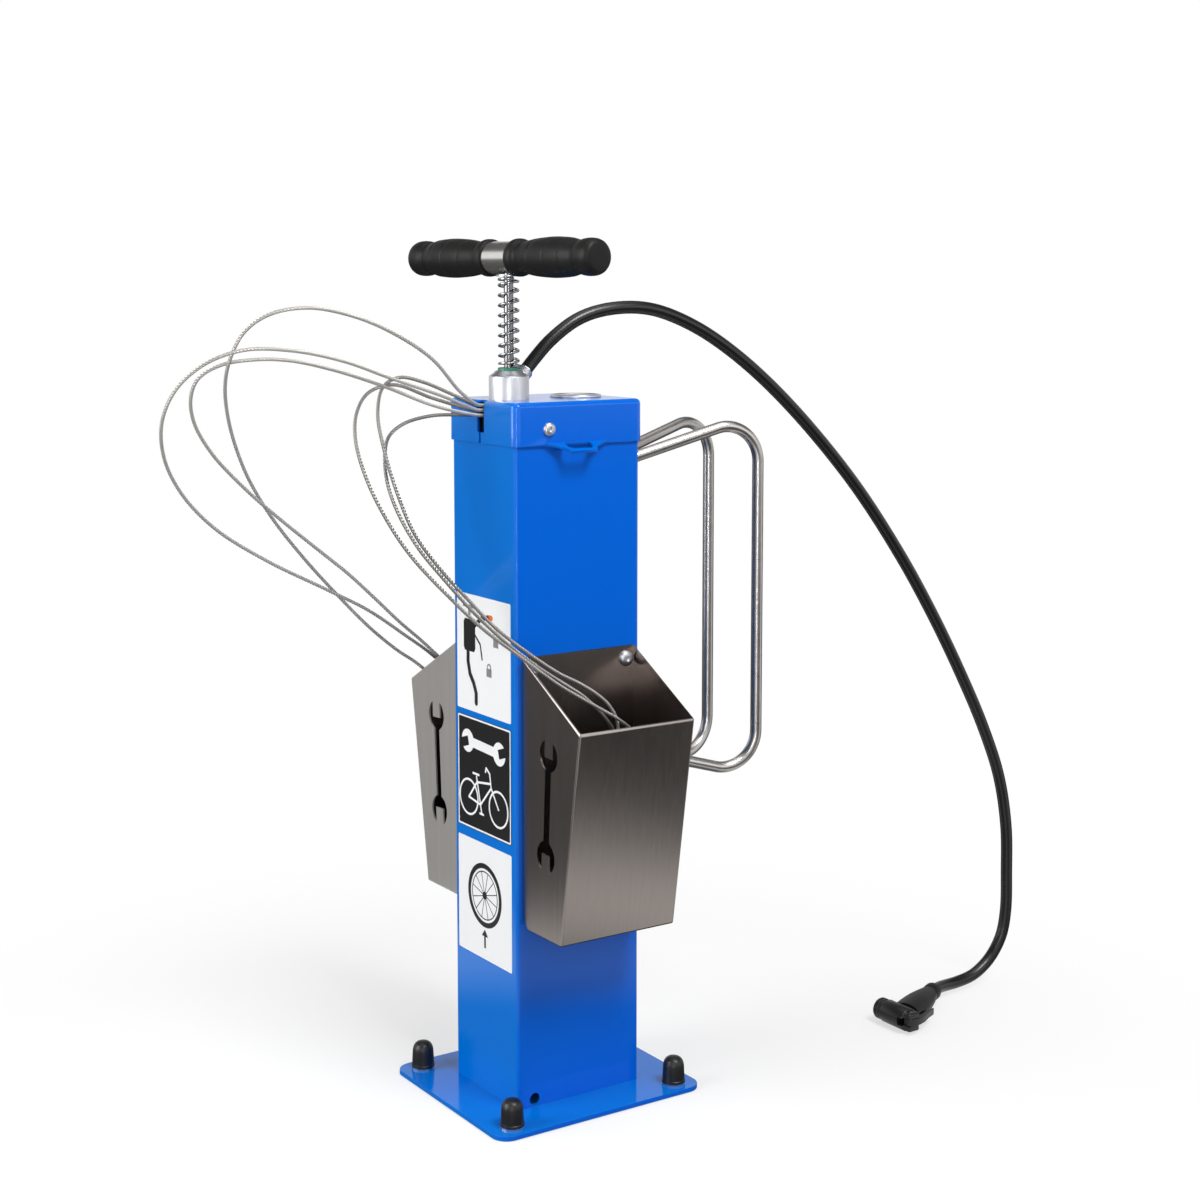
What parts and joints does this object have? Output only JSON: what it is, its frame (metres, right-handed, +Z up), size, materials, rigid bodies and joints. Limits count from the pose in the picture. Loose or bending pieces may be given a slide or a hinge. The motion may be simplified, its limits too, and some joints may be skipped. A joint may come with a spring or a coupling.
{
  "type": "bicycle repair station",
  "caption": "Free-standing steel post with a hand air pump, a long hose and chuck, tools on steel ropes in two side pockets, and a wheel holder of two bent rods",
  "frame": {"origin": "centre of the base plate's underside, on the ground", "axes": "+Z up along the column, -Y towards the face with the labels, +Y towards the wheel holder, +X towards the right pocket"},
  "size_m": [0.272, 0.8193, 0.7164],
  "materials": {
    "blue_paint": "gloss powder coat",
    "stainless": "satin",
    "dark_stainless": "brushed upright",
    "polished": "polished",
    "zinc_plate": "zinc plated",
    "black_rubber": "matte",
    "black_plastic": "moulded",
    "green_seal": "moulded",
    "brass_pipe": "drawn",
    "rope_steel": "stranded wire rope"
  },
  "bodies": {
    "stand": {"base_plate": "blue_paint", "column": "blue_paint", "top_cover": "blue_paint", "cover_plug": "polished", "cover_screw_right": "polished", "cover_screw_left": "polished", "pump_barrel": "stainless", "pump_head": "polished", "foot_valve": "zinc_plate", "air_pipe": "brass_pipe", "hose_fitting": "zinc_plate", "rod_seal": "green_seal", "buffer_spring": "polished", "tool_pocket_right": "dark_stainless", "tool_pocket_left": "dark_stainless", "wheel_hoop_right": "stainless", "wheel_hoop_left": "stainless", "pump_hose": "black_rubber", "hose_sleeve": "black_rubber", "chuck_body": "black_plastic", "chuck_pin": "zinc_plate", "chuck_seal": "black_rubber", "tyre_lever": "black_plastic", "hex_key": "zinc_plate", "open_end_spanner": "polished", "screwdriver_flat": "black_plastic", "screwdriver_cross": "black_plastic", "wrench_body": "polished", "anchor_bolt_1": "zinc_plate", "anchor_cap_1": "black_plastic", "anchor_bolt_2": "zinc_plate", "anchor_cap_2": "black_plastic", "anchor_bolt_3": "zinc_plate", "anchor_cap_3": "black_plastic", "anchor_bolt_4": "zinc_plate", "anchor_cap_4": "black_plastic", "pocket_screw_right_front": "polished", "pocket_screw_right_rear": "polished", "hoop_nut_right_top": "zinc_plate", "hoop_nut_right_low": "zinc_plate", "pocket_screw_left_front": "polished", "pocket_screw_left_rear": "polished", "hoop_nut_left_top": "zinc_plate", "hoop_nut_left_low": "zinc_plate", "tool_rope_a": "rope_steel", "tool_rope_b": "rope_steel", "tool_rope_c": "rope_steel", "tool_rope_d": "rope_steel", "tool_rope_e": "rope_steel", "tool_rope_f": "rope_steel"},
    "spring_washer": {"spring_washer": "zinc_plate"},
    "plunger": {"piston_rod": "polished", "piston": "zinc_plate", "piston_cup": "black_rubber"},
    "handle": {"handle_hub": "stainless", "grip_right": "black_rubber", "grip_left": "black_rubber"},
    "chuck_lever": {"chuck_lever": "black_plastic"},
    "wrench_jaw": {"wrench_jaw": "polished"},
    "wrench_worm": {"wrench_worm": "zinc_plate"}
  },
  "joints": [
    {"name": "buffer_travel", "type": "slide", "parent": "stand", "child": "spring_washer", "axis": [0, 0, 1], "range_m": [-0.015, 0], "stiffness_N_per_m": 6500, "springref_m": 0.003, "deforming": ["buffer_spring"]},
    {"name": "pump_stroke", "type": "slide", "parent": "spring_washer", "child": "plunger", "axis": [0, 0, 1], "range_m": [0, 0.45]},
    {"name": "handle_turn", "type": "hinge", "parent": "plunger", "child": "handle", "pos_m": [0, -0.035, 0.7], "axis": [0, 0, 1], "continuous": true},
    {"name": "lever_turn", "type": "hinge", "parent": "stand", "child": "chuck_lever", "pos_m": [0.0942, 0.3313, 0.0115], "axis": [0, 0, -1], "range_deg": [0, 90]},
    {"name": "jaw_slide", "type": "slide", "parent": "stand", "child": "wrench_jaw", "axis": [0, 1, 0], "range_m": [0, 0.014]},
    {"name": "worm_turn", "type": "hinge", "parent": "stand", "child": "wrench_worm", "pos_m": [0.086, 0.016, 0.1975], "axis": [0, 1, 0], "range_deg": [-1, 1515.5]}
  ],
  "couplings": [
    {"joint": "worm_turn", "follows": "jaw_slide", "rad_per_m": 1886.8}
  ]
}
